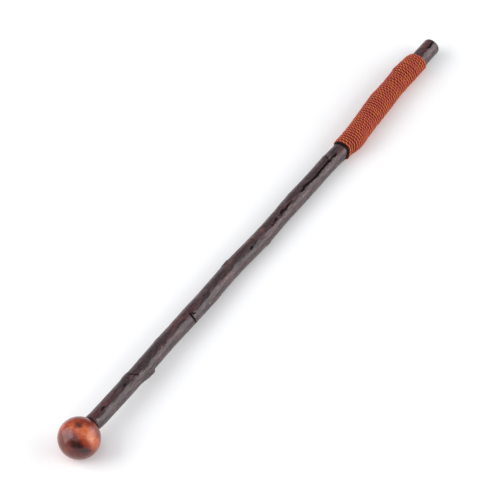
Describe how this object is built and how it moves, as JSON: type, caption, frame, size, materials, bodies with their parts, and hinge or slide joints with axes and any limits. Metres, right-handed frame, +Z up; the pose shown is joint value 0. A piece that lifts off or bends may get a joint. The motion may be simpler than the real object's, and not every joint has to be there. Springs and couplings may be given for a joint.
{
  "type": "ball-headed fighting stick",
  "caption": "Wooden fighting stick with a turned ball head, a knotty bark-on shaft and a cord-wound grip near its bare tail.",
  "frame": {"origin": "bottom centre of the bounding box of the stick lying on a level floor, resting on the ball and on the grip", "axes": "+X along the stick from the ball to the tail, +Y sideways, +Z up; the stick's own axis dips towards the tail by a little under one degree"},
  "size_m": [0.6776, 0.045, 0.045],
  "materials": {
    "bark_shaft": "dark lacquered bark, satin",
    "turned_head": "red-brown stained and gloss-lacquered figured wood",
    "wedge_wood": "bare hardwood",
    "underlay_tape": "black cloth tape",
    "grip_cord": "rust-red twisted cord, close-wound"
  },
  "bodies": {
    "root": {"shaft": "bark_shaft", "head_ball": "turned_head", "tenon_wedge": "wedge_wood", "grip_underlay": "underlay_tape", "grip_cord": "grip_cord"}
  },
  "joints": []
}
